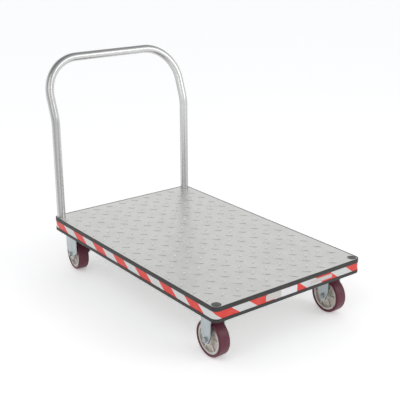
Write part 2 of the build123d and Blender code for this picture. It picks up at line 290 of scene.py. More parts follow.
def stripe_film(settings):
    """Prismatic retroreflective film: slanted red and silver-white blocks over a lattice of diamond cells."""
    material, tree, shader = new_material("retroreflective_film")
    where = add(tree, "ShaderNodeUVMap", uv_map="along").outputs[0]
    apart = add(tree, "ShaderNodeSeparateXYZ", {"Vector": where})
    lean = math.tan(math.radians(settings.stripe_slant))
    slid = add(tree, "ShaderNodeMath", {0: apart.outputs[1], 1: lean, 2: apart.outputs[0]},
               operation="MULTIPLY_ADD")
    turns = add(tree, "ShaderNodeMath", {0: slid.outputs[0], 1: settings.stripe_pitch}, operation="DIVIDE")
    part = add(tree, "ShaderNodeMath", {0: turns.outputs[0]}, operation="FRACT")
    is_red = add(tree, "ShaderNodeMath", {0: part.outputs[0], 1: 0.5}, operation="LESS_THAN")
    turned = add(tree, "ShaderNodeMapping", {"Vector": where, "Rotation": (0, 0, math.radians(45))})
    cells = add(tree, "ShaderNodeTexVoronoi", {"Vector": turned.outputs[0], "Scale": per(4.5),
                                               "Randomness": 0.0},
                feature="DISTANCE_TO_EDGE", voronoi_dimensions="2D")
    wall = add(tree, "ShaderNodeMath", {0: cells.outputs["Distance"], 1: 0.07}, operation="LESS_THAN")
    here = add(tree, "ShaderNodeTexCoord").outputs["Object"]
    grime = add(tree, "ShaderNodeTexNoise", {"Vector": here, "Scale": per(30), "Detail": 6.0})
    red = add(tree, "ShaderNodeMix", {0: wall.outputs[0], 6: linear(settings.red), 7: linear("#cf4439")},
              data_type="RGBA")
    white = add(tree, "ShaderNodeMix", {0: wall.outputs[0], 6: linear(settings.white), 7: linear("#d0d1d0")},
                data_type="RGBA")
    blocks = add(tree, "ShaderNodeMix", {0: is_red.outputs[0], 6: white.outputs[2], 7: red.outputs[2]},
                 data_type="RGBA")
    film = add(tree, "ShaderNodeMapRange", {"Value": grime.outputs[0], "From Min": 0.5, "From Max": 0.8,
                                            "To Max": 0.14})
    soiled = add(tree, "ShaderNodeMix", {0: film.outputs[0], 6: blocks.outputs[2], 7: linear("#b9b2aa")},
                 data_type="RGBA")
    bump = add(tree, "ShaderNodeBump", {"Height": wall.outputs[0], "Strength": 0.25, "Distance": 0.03 * MM})
    feed(tree, shader, {"Roughness": 0.38, "Specular IOR Level": 0.35, "Coat Weight": 0.15,
                        "Coat Roughness": 0.12, "Base Color": soiled.outputs[2], "Normal": bump.outputs[0]})
    return material


def label_stock(name, code):
    """Blank self-adhesive label: matt coated film with a slightly mottled face."""
    material, tree, shader, here = patterned_material(name)
    mottle = add(tree, "ShaderNodeTexNoise", {"Vector": here, "Scale": per(14), "Detail": 4.0})
    darker = shade(code, 0.82)
    tint = add(tree, "ShaderNodeMix", {0: mottle.outputs[0], 6: darker, 7: linear(code)}, data_type="RGBA")
    bump = add(tree, "ShaderNodeBump", {"Height": mottle.outputs[0], "Strength": 0.15, "Distance": 0.1 * MM})
    feed(tree, shader, {"Roughness": 0.45, "Base Color": tint.outputs[2], "Normal": bump.outputs[0]})
    return material


def drawn_tube(colour):
    """Satin drawn aluminium tube: fine lines run with the tube and its bends, and show as light streaks."""
    material, tree, shader = new_material("satin_drawn_tube")
    straight = add(tree, "ShaderNodeAttribute", attribute_name="straight").outputs["Vector"]
    stretched = add(tree, "ShaderNodeMapping", {"Vector": straight, "Scale": (1.0, 1.0, 0.02)})
    lines = add(tree, "ShaderNodeTexNoise", {"Vector": stretched.outputs[0], "Scale": per(2.2), "Detail": 4.0,
                                             "Roughness": 0.7})
    clouds = add(tree, "ShaderNodeTexNoise", {"Vector": straight, "Scale": per(22), "Detail": 6.0,
                                              "Roughness": 0.6})
    drawn = add(tree, "ShaderNodeMapping", {"Vector": straight, "Scale": (1.0, 1.0, 0.008)})
    streaks = add(tree, "ShaderNodeTexNoise", {"Vector": drawn.outputs[0], "Scale": per(9), "Detail": 2.0})
    tone = add(tree, "ShaderNodeMapRange", {"Value": streaks.outputs[0], "From Min": 0.36, "From Max": 0.6})
    dull = shade(colour, 0.58)
    tint = add(tree, "ShaderNodeMix", {0: tone.outputs[0], 6: dull, 7: linear(colour)}, data_type="RGBA")
    gloss = add(tree, "ShaderNodeMapRange", {"Value": clouds.outputs[0], "From Min": 0.3, "From Max": 0.7,
                                             "To Min": 0.20, "To Max": 0.34})
    bump = add(tree, "ShaderNodeBump", {"Height": lines.outputs[0], "Strength": 0.2, "Distance": 0.1 * MM})
    feed(tree, shader, {"Metallic": 1.0, "Base Color": tint.outputs[2], "Roughness": gloss.outputs[0],
                        "Normal": bump.outputs[0]})
    return material


def bright_zinc(name, code, size):
    """Bright zinc plating on pressed steel: cool blue-grey, softly wavy from the press, with dulled spots."""
    material, tree, shader, here = patterned_material(name)
    waves = add(tree, "ShaderNodeTexNoise", {"Vector": here, "Scale": per(size), "Detail": 2.0})
    spots = add(tree, "ShaderNodeTexVoronoi", {"Vector": here, "Scale": per(size / 4)}, feature="F1")
    darker = shade(code, 0.72)
    tint = add(tree, "ShaderNodeMix", {0: waves.outputs[0], 6: darker, 7: linear(code)}, data_type="RGBA")
    gloss = add(tree, "ShaderNodeMapRange", {"Value": spots.outputs["Distance"], "From Min": 0.0,
                                             "From Max": 0.8, "To Min": 0.26, "To Max": 0.40})
    bump = add(tree, "ShaderNodeBump", {"Height": waves.outputs[0], "Strength": 0.2, "Distance": 0.3 * MM})
    feed(tree, shader, {"Metallic": 1.0, "Base Color": tint.outputs[2], "Roughness": gloss.outputs[0],
                        "Normal": bump.outputs[0]})
    return material


def cast_aluminium(colour):
    """As-cast aluminium: sandy skin, with brown-grey patches painted in as the shade in the hub's pockets."""
    material, tree, shader, here = patterned_material("cast_aluminium")
    sand = add(tree, "ShaderNodeTexNoise", {"Vector": here, "Scale": per(1.6), "Detail": 4.0,
                                            "Roughness": 0.7})
    # Painted shade: brown-grey patches over every face in this finish, which are mostly the hub's pockets.
    pocket_shade_patches = add(tree, "ShaderNodeTexNoise", {"Vector": here, "Scale": per(18), "Detail": 4.0})
    tint = add(tree, "ShaderNodeMix", {0: pocket_shade_patches.outputs[0], 6: linear("#a39a92"), 7: linear(colour)},
               data_type="RGBA")
    gloss = add(tree, "ShaderNodeMapRange", {"Value": sand.outputs[0], "From Min": 0.3, "From Max": 0.7,
                                             "To Min": 0.45, "To Max": 0.65})
    bump = add(tree, "ShaderNodeBump", {"Height": sand.outputs[0], "Strength": 0.5, "Distance": 0.25 * MM})
    feed(tree, shader, {"Metallic": 0.4, "Base Color": tint.outputs[2], "Roughness": gloss.outputs[0],
                        "Normal": bump.outputs[0]})
    return material


def turned_aluminium(colour):
    """Machined face of the hub: clean pale metal with tool rings, drawn 1.6 mm apart so that they show."""
    material, tree, shader = new_material("turned_aluminium")
    polar = add(tree, "ShaderNodeUVMap", uv_map="polar").outputs[0]
    apart = add(tree, "ShaderNodeSeparateXYZ", {"Vector": polar})
    cut = add(tree, "ShaderNodeMath", {0: apart.outputs[1], 1: math.tau / (1.6 * MM)}, operation="MULTIPLY")
    rings = add(tree, "ShaderNodeMath", {0: cut.outputs[0]}, operation="SINE")
    here = add(tree, "ShaderNodeTexCoord").outputs["Object"]
    tarnish = add(tree, "ShaderNodeTexNoise", {"Vector": here, "Scale": per(12), "Detail": 4.0})
    darker = shade(colour, 0.8)
    tint = add(tree, "ShaderNodeMix", {0: tarnish.outputs[0], 6: darker, 7: linear(colour)}, data_type="RGBA")
    bump = add(tree, "ShaderNodeBump", {"Height": rings.outputs[0], "Strength": 0.25, "Distance": 0.05 * MM})
    feed(tree, shader, {"Metallic": 1.0, "Roughness": 0.34, "Base Color": tint.outputs[2],
                        "Normal": bump.outputs[0]})
    return material


def bearing_steel():
    """Ground bearing steel with a film of grease: dark, fairly bright, faintly smeared."""
    material, tree, shader, here = patterned_material("ground_bearing_steel")
    smear = add(tree, "ShaderNodeTexNoise", {"Vector": here, "Scale": per(6), "Detail": 4.0})
    tint = add(tree, "ShaderNodeMix", {0: smear.outputs[0], 6: linear("#55504a"), 7: linear("#9a9a98")},
               data_type="RGBA")
    gloss = add(tree, "ShaderNodeMapRange", {"Value": smear.outputs[0], "From Min": 0.3, "From Max": 0.7,
                                             "To Min": 0.2, "To Max": 0.45})
    feed(tree, shader, {"Metallic": 1.0, "Base Color": tint.outputs[2], "Roughness": gloss.outputs[0]})
    return material


def moulded_polyurethane(colour):
    """Moulded polyurethane tread: deep maroon with a waxy skin, and floor dust on the running face."""
    material, tree, shader, here = patterned_material("moulded_polyurethane")
    flow = add(tree, "ShaderNodeTexNoise", {"Vector": here, "Scale": per(20), "Detail": 5.0})
    fine = add(tree, "ShaderNodeTexNoise", {"Vector": here, "Scale": per(2.5), "Detail": 4.0})
    polar = add(tree, "ShaderNodeUVMap", uv_map="polar").outputs[0]
    radius = add(tree, "ShaderNodeSeparateXYZ", {"Vector": polar}).outputs[1]
    worn = add(tree, "ShaderNodeMapRange", {"Value": radius, "From Min": 73 * MM, "From Max": 76 * MM,
                                            "To Max": 0.4})
    patchy = add(tree, "ShaderNodeMath", {0: worn.outputs[0], 1: fine.outputs[0]}, operation="MULTIPLY")
    darker = shade(colour, 0.75)
    tint = add(tree, "ShaderNodeMix", {0: flow.outputs[0], 6: darker, 7: linear(colour)}, data_type="RGBA")
    dusty = add(tree, "ShaderNodeMix", {0: patchy.outputs[0], 6: tint.outputs[2], 7: linear("#75434e")},
                data_type="RGBA")
    gloss = add(tree, "ShaderNodeMapRange", {"Value": patchy.outputs[0], "From Min": 0.0, "From Max": 0.4,
                                             "To Min": 0.30, "To Max": 0.50})
    bump = add(tree, "ShaderNodeBump", {"Height": fine.outputs[0], "Strength": 0.2, "Distance": 0.15 * MM})
    feed(tree, shader, {"IOR": 1.5, "Specular IOR Level": 0.38, "Base Color": dusty.outputs[2],
                        "Roughness": gloss.outputs[0], "Normal": bump.outputs[0]})
    return material


# ------------------------------------------------------------ treadplate
def lug_form(length, width, height):
    """One raised lug: a pointed lens in plan with a crowned top, its foot sunk a little into the plate."""
    stations = (-1.0, -0.82, -0.45, 0.0, 0.45, 0.82, 1.0)
    across = ((-1.0, -0.15), (-0.72, 0.55), (-0.3, 0.96), (0.3, 0.96), (0.72, 0.55), (1.0, -0.15))
    points, faces = [], []
    for station in stations:
        fullness = math.cos(station * math.pi / 2) ** 0.8
        for side, rise in across:
            lift = rise if rise < 0 else rise * (1 - abs(station) ** 3)
            points.append((station * length / 2, side * width / 2 * max(fullness, 0.04), lift * height))
    row = len(across)
    for i in range(len(stations) - 1):
        for j in range(row - 1):
            a = i * row + j
            faces.append((a, a + row, a + row + 1, a + 1))
    mesh = bpy.data.meshes.new("lug_form")
    mesh.from_pydata(points, [], faces)
    form = bmesh.new()
    form.from_mesh(mesh)
    bmesh.ops.remove_doubles(form, verts=form.verts, dist=0.02 * MM)
    edge = [e for e in form.edges if e.is_boundary]
    bmesh.ops.contextual_create(form, geom=edge)
    bmesh.ops.recalc_face_normals(form, faces=form.faces)
    for face in form.faces:
        face.smooth = True
    form.to_mesh(mesh)
    form.free()
    return mesh


def lug_tree():
    """Two staggered lattices of lugs, turned 45 degrees each way, cut back from the edges and the sockets."""
    number, whole = "NodeSocketFloat", "NodeSocketInt"
    tree, given = new_tree("tread_lugs", [
        ("Lug", "NodeSocketObject", None), ("Pitch along", number, 0.08), ("Pitch across", number, 0.07),
        ("Start along", number, 0.0), ("Start across", number, 0.0), ("Half length", number, 0.6),
        ("Half width", number, 0.37), ("Socket along", number, 0.58), ("Socket across", number, 0.35),
        ("Socket margin", number, 0.04), ("Deck height", number, 0.25), ("Seed", whole, 4),
        ("Material", "NodeSocketMaterial", None)])
    lug = add(tree, "GeometryNodeObjectInfo", {"Object": given["Lug"]})
    rows = []
    for part, turn in ((0.0, -45), (0.5, 45)):
        columns, ranks = 19, 15
        spans = [add(tree, "ShaderNodeMath", {0: given[name], 1: float(count - 1)}, operation="MULTIPLY")
                 for name, count in (("Pitch along", columns), ("Pitch across", ranks))]
        grid = add(tree, "GeometryNodeMeshGrid", {
            "Size X": spans[0].outputs[0], "Size Y": spans[1].outputs[0],
            "Vertices X": columns, "Vertices Y": ranks})
        shifts = [add(tree, "ShaderNodeMath", {0: given[pitch], 1: part, 2: given[start]},
                      operation="MULTIPLY_ADD")
                  for pitch, start in (("Pitch along", "Start along"), ("Pitch across", "Start across"))]
        shift = add(tree, "ShaderNodeCombineXYZ", {0: shifts[0].outputs[0], 1: shifts[1].outputs[0],
                                                   2: given["Deck height"]})
        moved = add(tree, "GeometryNodeSetPosition", {"Geometry": grid.outputs["Mesh"],
                                                      "Offset": shift.outputs[0]})
        lugs = add(tree, "GeometryNodeInstanceOnPoints", {
            "Points": moved.outputs[0], "Instance": lug.outputs["Geometry"],
            "Rotation": (0.0, 0.0, math.radians(turn))})
        rows.append(lugs.outputs[0])
    joined = add(tree, "GeometryNodeJoinGeometry")
    for row in rows:
        tree.links.new(row, joined.inputs[0])

    spot = add(tree, "GeometryNodeInputPosition").outputs[0]
    folded = add(tree, "ShaderNodeVectorMath", {0: spot}, operation="ABSOLUTE")
    apart = add(tree, "ShaderNodeSeparateXYZ", {"Vector": folded.outputs[0]})
    off_end = add(tree, "ShaderNodeMath", {0: apart.outputs[0], 1: given["Half length"]},
                  operation="GREATER_THAN")
    off_side = add(tree, "ShaderNodeMath", {0: apart.outputs[1], 1: given["Half width"]},
                   operation="GREATER_THAN")
    centre = add(tree, "ShaderNodeCombineXYZ", {0: given["Socket along"], 1: given["Socket across"]})
    flat = add(tree, "ShaderNodeVectorMath", {0: folded.outputs[0], 1: (1.0, 1.0, 0.0)}, operation="MULTIPLY")
    reach = add(tree, "ShaderNodeVectorMath", {0: flat.outputs[0], 1: centre.outputs[0]},
                operation="DISTANCE")
    at_socket = add(tree, "ShaderNodeMath", {0: reach.outputs["Value"], 1: given["Socket margin"]},
                    operation="LESS_THAN")
    any_edge = add(tree, "ShaderNodeMath", {0: off_end.outputs[0], 1: off_side.outputs[0]},
                   operation="MAXIMUM")
    gone = add(tree, "ShaderNodeMath", {0: any_edge.outputs[0], 1: at_socket.outputs[0]}, operation="MAXIMUM")
    kept = add(tree, "GeometryNodeDeleteGeometry", {"Geometry": joined.outputs[0],
                                                    "Selection": gone.outputs[0]}, domain="INSTANCE")
    worn = add(tree, "FunctionNodeRandomValue", {0: (0.96, 0.96, 0.88), 1: (1.03, 1.03, 1.05),
                                                 "Seed": given["Seed"]}, data_type="FLOAT_VECTOR")
    sized = add(tree, "GeometryNodeScaleInstances", {"Instances": kept.outputs[0], "Scale": worn.outputs[0]})
    close_tree(tree, sized.outputs[0], given["Material"])
    return tree


def build_treadplate():
    deck = bpy.context.scene.truck_deck
    dress("tread_plate", treadplate_metal(deck.colour))
    # The lugs' finish has painted shade at their feet.
    metal = lug_metal_with_foot_shade(deck.colour)
    lug = new_object("lug_form", lug_form(deck.lug_length, deck.lug_width, deck.lug_height))
    half_lug = deck.lug_length / 2 * math.sin(math.radians(45))
    values = {
        "Lug": lug, "Pitch along": deck.pitch_along, "Pitch across": deck.pitch_across,
        "Start along": deck.start_along, "Start across": deck.start_across,
        "Half length": PLATE_HIGH.x - half_lug, "Half width": PLATE_HIGH.y - half_lug,
        "Socket along": SOCKET_X, "Socket across": SOCKET_Y,
        "Socket margin": SOCKET_RADIUS + deck.lug_length / 2, "Deck height": DECK_TOP, "Seed": 4,
        "Material": metal}
    lugs = grow("tread_lugs", bpy.data.meshes.new("seed"), lug_tree(), values, metal)
    bpy.data.objects.remove(lug)
    if not lugs.data.polygons:
        raise RuntimeError("no lugs were made")
    place_piece(lugs, "deck", "treadplate")


def build_frame_finish():
    metal = extruded_aluminium()
    weathered = extruded_aluminium("weathered_socket", 0.7)
    for node in frame["nodes"]:
        if node.startswith(("side_rail", "end_rail", "cross_member")):
            dress(node, metal)
        elif node.startswith("handle_socket"):
            dress(node, weathered)


# ------------------------------------------------------------ edge
def rounded_rectangle(half_x, half_y, radius, steps):
    """Points round a rectangle with arcs at its corners, the length walked to each, and the whole length."""
    walked, rows = 0.0, []
    corners = ((half_x - radius, half_y - radius, 0), (radius - half_x, half_y - radius, 90),
               (radius - half_x, radius - half_y, 180), (half_x - radius, radius - half_y, 270))
    for x, y, start in corners:
        for step in range(steps + 1):
            angle = math.radians(start + 90 * step / steps)
            rows.append(Vector((x + radius * math.cos(angle), y + radius * math.sin(angle), 0)))
    lengths = []
    for i, point in enumerate(rows):
        walked += (point - rows[i - 1]).length if i else 0.0
        lengths.append(walked)
    total = walked + (rows[0] - rows[-1]).length
    return rows, lengths, total


def bumper_profile(edge):
    """Section of the edging, out along X and down along Y: two domed ribs with the tape's channel between."""
    thick = BUMPER_X - PLATE_HIGH.x
    top, bottom = DECK_TOP + edge.lip, BUMPER_BOTTOM
    floor = thick - edge.channel_depth
    inside, ease = 0.1 * MM, 0.4 * MM
    points = [(inside, bottom), (inside, top - ease), (inside + ease, top)]
    for low, high in ((TAPE_HIGH.z + 0.2 * MM, top), (bottom, TAPE_LOW.z - 0.2 * MM)):
        crown = edge.rib_crown
        centre_y = ((high - crown), (low + crown))
        for middle, start in ((centre_y[0], 90), (centre_y[1], 0)):
            for step in range(5):
                angle = math.radians(start - 90 * step / 4)
                points.append((thick - crown + crown * math.cos(angle), middle + crown * math.sin(angle)))
        if low > TAPE_LOW.z:
            points += [(floor, low), (floor, TAPE_LOW.z - 0.2 * MM)]
    return [Vector((x, -y, 0)) for x, y in points]


def bumper_tree():
    """Sweeps the edging's section round the frame's outline."""
    number = "NodeSocketFloat"
    tree, given = new_tree("edging", [
        ("Section", "NodeSocketObject", None), ("Length", number, 1.2), ("Width", number, 0.7),
        ("Corner radius", number, 0.02), ("Material", "NodeSocketMaterial", None)])
    outline = add(tree, "GeometryNodeCurvePrimitiveQuadrilateral", {"Width": given["Length"],
                                                                     "Height": given["Width"]})
    rounded = add(tree, "GeometryNodeFilletCurve", {"Curve": outline.outputs[0], "Count": 14,
                                                    "Radius": given["Corner radius"]}, mode="POLY")
    section = add(tree, "GeometryNodeObjectInfo", {"Object": given["Section"]})
    wire = add(tree, "GeometryNodeMeshToCurve", {"Mesh": section.outputs["Geometry"]})
    swept = add(tree, "GeometryNodeCurveToMesh", {"Curve": rounded.outputs[0],
                                                  "Profile Curve": wire.outputs[0]})
    smooth = add(tree, "GeometryNodeSetShadeSmooth", {"Geometry": swept.outputs[0]})
    close_tree(tree, smooth.outputs[0], given["Material"])
    return tree


def face_outwards(mesh):
    """Recalculate a closed mesh's normals after merging its doubles, and set its sharp edges."""
    form = bmesh.new()
    form.from_mesh(mesh)
    bmesh.ops.remove_doubles(form, verts=form.verts, dist=1e-6)
    bmesh.ops.recalc_face_normals(form, faces=form.faces)
    for face in form.faces:
        face.smooth = True
    form.to_mesh(mesh)
    form.free()
    mesh.set_sharp_from_angle(angle=math.radians(35))


def build_bumper():
    edge = bpy.context.scene.truck_edge
    rubber = edge_rubber(edge.rubber)
    section = new_object("edging_section", edge_loop("edging_section", bumper_profile(edge)))
    values = {"Section": section, "Length": 2 * PLATE_HIGH.x, "Width": 2 * PLATE_HIGH.y,
              "Corner radius": SOCKET_RADIUS, "Material": rubber}
    strip = grow("rubber_edging", bpy.data.meshes.new("seed"), bumper_tree(), values, rubber)
    bpy.data.objects.remove(section)
    face_outwards(strip.data)
    place_piece(strip, "deck", "bumper", *BUMPERS)


def build_tape():
    """The band in the edging's channel; its UV map holds metres walked round the truck and metres up."""
    edge = bpy.context.scene.truck_edge
    outside = TAPE_HIGH.x
    radius = SOCKET_RADIUS + outside - PLATE_HIGH.x
    thin = 0.4 * MM
    outer, lengths, total = rounded_rectangle(outside, TAPE_HIGH.y, radius, 12)
    inner = rounded_rectangle(outside - thin, TAPE_HIGH.y - thin, radius - thin, 12)[0]
    form = bmesh.new()
    ease = 0.15 * MM
    rings = [[form.verts.new((p.x, p.y, z)) for p in ring] for ring, z in (
        (inner, TAPE_LOW.z), (outer, TAPE_LOW.z + ease), (outer, TAPE_HIGH.z - ease), (inner, TAPE_HIGH.z))]
    along = form.loops.layers.uv.new("along")
    count = len(outer)
    # The first red block starts on the right side, a little way from the handle's end at half height.
    side_start = lengths[3 * len(outer) // 4]
    half_lean = (TAPE_HIGH.z - TAPE_LOW.z) / 2 * math.tan(math.radians(edge.stripe_slant))
    start = side_start - radius + edge.stripe_start + half_lean
    for low in range(4):
        high = (low + 1) % 4
        for i in range(count):
            j = (i + 1) % count
            face = form.faces.new((rings[low][i], rings[low][j], rings[high][j], rings[high][i]))
            face.smooth = True
            for loop, (k, ring) in zip(face.loops, ((i, low), (j, low), (j, high), (i, high))):
                walked = total if (k == 0 and i == count - 1) else lengths[k]
                loop[along].uv = (walked - start, rings[ring][k].co.z - TAPE_LOW.z)
    bmesh.ops.recalc_face_normals(form, faces=form.faces)
    mesh = mesh_of(form, "striped_tape")
    mesh.set_sharp_from_angle(angle=math.radians(50))
    tape = new_object("striped_tape", mesh, stripe_film(edge))
    place_piece(tape, "deck", "reflective_tape", "reflective_tape")


def label(name, middle_y, middle_z, width, height, lift, material):
    """A blank label with round corners, stuck on the front face."""
    face = TAPE_HIGH.x + lift
    radius, thick = 3 * MM, 0.15 * MM
    ring = rounded_rectangle(width / 2, height / 2, radius, 5)[0]
    form = bmesh.new()
    rows = [[form.verts.new((x, middle_y + p.x * (1 - k), middle_z + p.y * (1 - k))) for p in ring]
            for x, k in ((face - thick, 0.0), (face, 0.0), (face + 0.05 * MM, 0.01))]
    for low, high in ((0, 1), (1, 2)):
        for i in range(len(ring)):
            j = (i + 1) % len(ring)
            form.faces.new((rows[low][i], rows[low][j], rows[high][j], rows[high][i]))
    form.faces.new(rows[2])
    form.faces.new(rows[0])
    bmesh.ops.recalc_face_normals(form, faces=form.faces)
    mesh = mesh_of(form, name)
    thing = new_object(name, mesh, material)
    place_piece(thing, "deck", "reflective_tape")


def build_labels():
    middle = (TAPE_LOW.z + TAPE_HIGH.z) / 2
    tall = TAPE_HIGH.z - TAPE_LOW.z
    # name, place across and up, width and height, stand-off from the tape, material
    for name, across, up, width, height, lift, stock, colour in (
            ("blank_label_small", -0.098, middle, 0.075, tall * 0.8, 0.2 * MM, "clear_label", "#c9c4c0"),
            ("blank_label_white", -0.016, middle - 0.6 * MM, 0.082, tall, 0.25 * MM, "white_label",
             "#e2e1e4"),
            ("blank_label_grey", 0.155, middle, 0.12, tall * 0.55, 0.2 * MM, "grey_label", "#c8c2c0")):
        label(name, across, up, width, height, lift, label_stock(stock, colour))


# ------------------------------------------------------------ push handle
def handle_tree():
    """Rounds the handle's corners, runs a tube along it, and keeps the tube's own unbent coordinates."""
    number = "NodeSocketFloat"
    tree, given = new_tree("bent_tube", [("Tube radius", number, 0.019), ("Bend steps", "NodeSocketInt", 20),
                                         ("Material", "NodeSocketMaterial", None)])
    wire = add(tree, "GeometryNodeMeshToCurve", {"Mesh": given["Geometry"]})
    bend = add(tree, "GeometryNodeInputNamedAttribute", {"Name": "bend"}, data_type="FLOAT")
    rounded = add(tree, "GeometryNodeFilletCurve", {"Curve": wire.outputs[0], "Count": given["Bend steps"],
                                                    "Radius": bend.outputs["Attribute"]}, mode="POLY")
    along = add(tree, "GeometryNodeCaptureAttribute", {"Geometry": rounded.outputs[0]})
    along.capture_items.new("FLOAT", "Along")
    walked = add(tree, "GeometryNodeSplineParameter").outputs["Length"]
    tree.links.new(walked, along.inputs["Along"])
    circle = add(tree, "GeometryNodeCurvePrimitiveCircle", {"Resolution": 40, "Radius": given["Tube radius"]},
                 mode="RADIUS")
    round_it = add(tree, "GeometryNodeCaptureAttribute", {"Geometry": circle.outputs[0]})
    round_it.capture_items.new("VECTOR", "Round")
    tree.links.new(add(tree, "GeometryNodeInputPosition").outputs[0], round_it.inputs["Round"])
    swept = add(tree, "GeometryNodeCurveToMesh", {
        "Curve": along.outputs[0], "Profile Curve": round_it.outputs[0], "Fill Caps": True})
    rise = add(tree, "ShaderNodeCombineXYZ", {2: along.outputs["Along"]})
    straight = add(tree, "ShaderNodeVectorMath", {0: round_it.outputs["Round"], 1: rise.outputs[0]},
                   operation="ADD")
    kept = add(tree, "GeometryNodeStoreNamedAttribute", {"Geometry": swept.outputs[0], "Name": "straight",
                                                         "Value": straight.outputs[0]},
               data_type="FLOAT_VECTOR", domain="POINT")
    smooth = add(tree, "GeometryNodeSetShadeSmooth", {"Geometry": kept.outputs[0]})
    close_tree(tree, smooth.outputs[0], given["Material"])
    return tree


def build_handle():
    handle = bpy.context.scene.truck_handle
    radius = handle.tube_diameter / 2
    y = HANDLE_HIGH.y - radius
    foot, top = HANDLE_LOW.z, HANDLE_HIGH.z - radius
    knee = DECK_TOP + handle.knee_height
    back = (top - knee) * math.tan(handle.lean)
    side = [(-SOCKET_X, y, foot), (-SOCKET_X, y, knee), (-SOCKET_X - back, y, top)]
    route = side + [(px, -py, pz) for px, py, pz in reversed(side)]
    wire = edge_loop("handle_route", route, closed=False)
    bends = wire.attributes.new("bend", "FLOAT", "POINT")
    bends.data.foreach_set("value", [0.0, handle.knee_radius, handle.corner_radius,
                                     handle.corner_radius, handle.knee_radius, 0.0])
    metal = drawn_tube(handle.colour)
    values = {"Tube radius": radius, "Bend steps": 20, "Material": metal}
    tube = grow("bent_tube_handle", wire, handle_tree(), values, metal)
    tube.data.set_sharp_from_angle(angle=math.radians(50))
    place_piece(tube, "handle", "handle", "push_handle")


# ------------------------------------------------------------ casters
def wheel_axle(end, side):
    """The middle of a wheel and the direction of its axle, from its joint."""
    joint = next(j for j in frame["joints"] if j["name"] == f"wheel_{end}_{side}_spin")
    return Vector(joint["pos_m"]), Vector(joint["axis"]).normalized()


def merged_copy(node, name):
    """A CAD node's shape as one closed skin with its flat faces joined up."""
    form = bmesh.new()
    form.from_mesh(frame["nodes"][node].data)
    bmesh.ops.remove_doubles(form, verts=form.verts, dist=1e-6)
    bmesh.ops.dissolve_limit(form, angle_limit=math.radians(0.5), verts=form.verts, edges=form.edges)
    for face in form.faces:
        face.smooth = True
        face.material_index = 0
    mesh = mesh_of(form, name)
    mesh.set_sharp_from_angle(angle=math.radians(30))
    return mesh


def eased(node, name, width, slot, *materials):
    """A copy of a CAD node with its sharp edges rounded over, standing for it."""
    thing = new_object(name, merged_copy(node, name), *materials)
    bevel = thing.modifiers.new("eased_edges", "BEVEL")
    bevel.width = width
    bevel.segments = 2
    bevel.limit_method = "ANGLE"
    bevel.angle_limit = math.radians(35)
    bevel.harden_normals = True
    place_piece(thing, body_of(node), slot, node)
    return thing


def polar_map(mesh, centre, axis):
    """UV map of turns about the axle and distance from it."""
    across = Vector((0, 0, 1))
    other = axis.cross(across)
    layer = mesh.uv_layers.new(name="polar")
    for loop in mesh.loops:
        out = mesh.vertices[loop.vertex_index].co - centre
        flat = out - axis * out.dot(axis)
        turn = math.atan2(flat.dot(across), flat.dot(other)) / math.tau
        layer.data[loop.index].uv = (turn, flat.length)


def lathe(name, section, centre, axis, steps):
    """Turn a closed section of (radius, along the axle) about the axle."""
    across = Vector((0, 0, 1))
    other = axis.cross(across)
    form = bmesh.new()
    rings = []
    for step in range(steps):
        angle = math.tau * step / steps
        out = across * math.cos(angle) + other * math.sin(angle)
        rings.append([form.verts.new(centre + out * r + axis * a) for r, a in section])
    for i in range(steps):
        for j in range(len(section)):
            k, m = (i + 1) % steps, (j + 1) % len(section)
            form.faces.new((rings[i][j], rings[k][j], rings[k][m], rings[i][m])).smooth = True
    bmesh.ops.recalc_face_normals(form, faces=form.faces)
    mesh = mesh_of(form, name)
    mesh.set_sharp_from_angle(angle=math.radians(40))
    polar_map(mesh, centre, axis)
    return mesh


def tyre_section(outer, inner, width, shoulder):
    """Section of the moulded tread: crowned face, round shoulders, a bead lip at the rim."""
    half = width / 2
    points = []
    for sign in (-1, 1):
        arc = []
        for step in range(7):
            angle = math.radians(90 * step / 6)
            arc.append((outer - 0.5 * MM - shoulder + shoulder * math.cos(angle),
                        sign * (half - shoulder + shoulder * math.sin(angle))))
        points += arc[::-1] if sign < 0 else [(outer, 0.0)] + arc
    wall = [(inner + up * MM, half - down * MM)
            for up, down in ((4.0, 0.0), (3.2, 0.9), (1.2, 1.2), (0.0, 2.2))]
    points += wall
    points += [(r, -a) for r, a in reversed(wall)]
    return points


RIM_GAP = 0.1 * MM              # between the tread's bore and the rim
RIM_RING = 9.5 * MM             # width of the machined ring on the rim
BARREL_REACH = 28 * MM          # radius inside which the hub's barrel is machined
FACED_FROM = 15 * MM            # distance from the wheel's middle past which a face is machined


def build_wheels():
    wheel = bpy.context.scene.truck_wheel
    polyurethane = moulded_polyurethane(wheel.tread)
    cast, turned = cast_aluminium(wheel.hub), turned_aluminium(wheel.rim)
    for end in ENDS:
        for side in SIDES:
            centre, axis = wheel_axle(end, side)
            tag = f"{end}_{side}"
            low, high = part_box(f"tyre_{end}_{side}")
            outer = (high.z - low.z) / 2
            inner = outer - wheel.tread_depth + RIM_GAP
            section = tyre_section(outer, inner, wheel.tread_width, wheel.shoulder)
            tread = new_object(f"tread_{tag}", lathe(f"tread_{tag}", section, centre, axis, 96), polyurethane)
            place_piece(tread, f"wheel_{tag}", "tyre", f"tyre_{tag}")

            hub = eased(f"wheel_hub_{tag}", f"hub_{tag}", wheel.hub_ease, "wheel_hub", cast, turned)
            # Faces other than the machined ones, mostly the pockets, take the cast finish with its painted shade.
            for face in hub.data.polygons:
                out = face.center - centre
                along = out.dot(axis)
                reach = (out - axis * along).length
                square = abs(face.normal.dot(axis)) > 0.9
                rim = reach > outer - wheel.tread_depth - RIM_RING
                faced = square and (rim or reach < BARREL_REACH) and abs(along) > FACED_FROM
                face.material_index = 1 if faced else 0
            polar_map(hub.data, centre, axis)


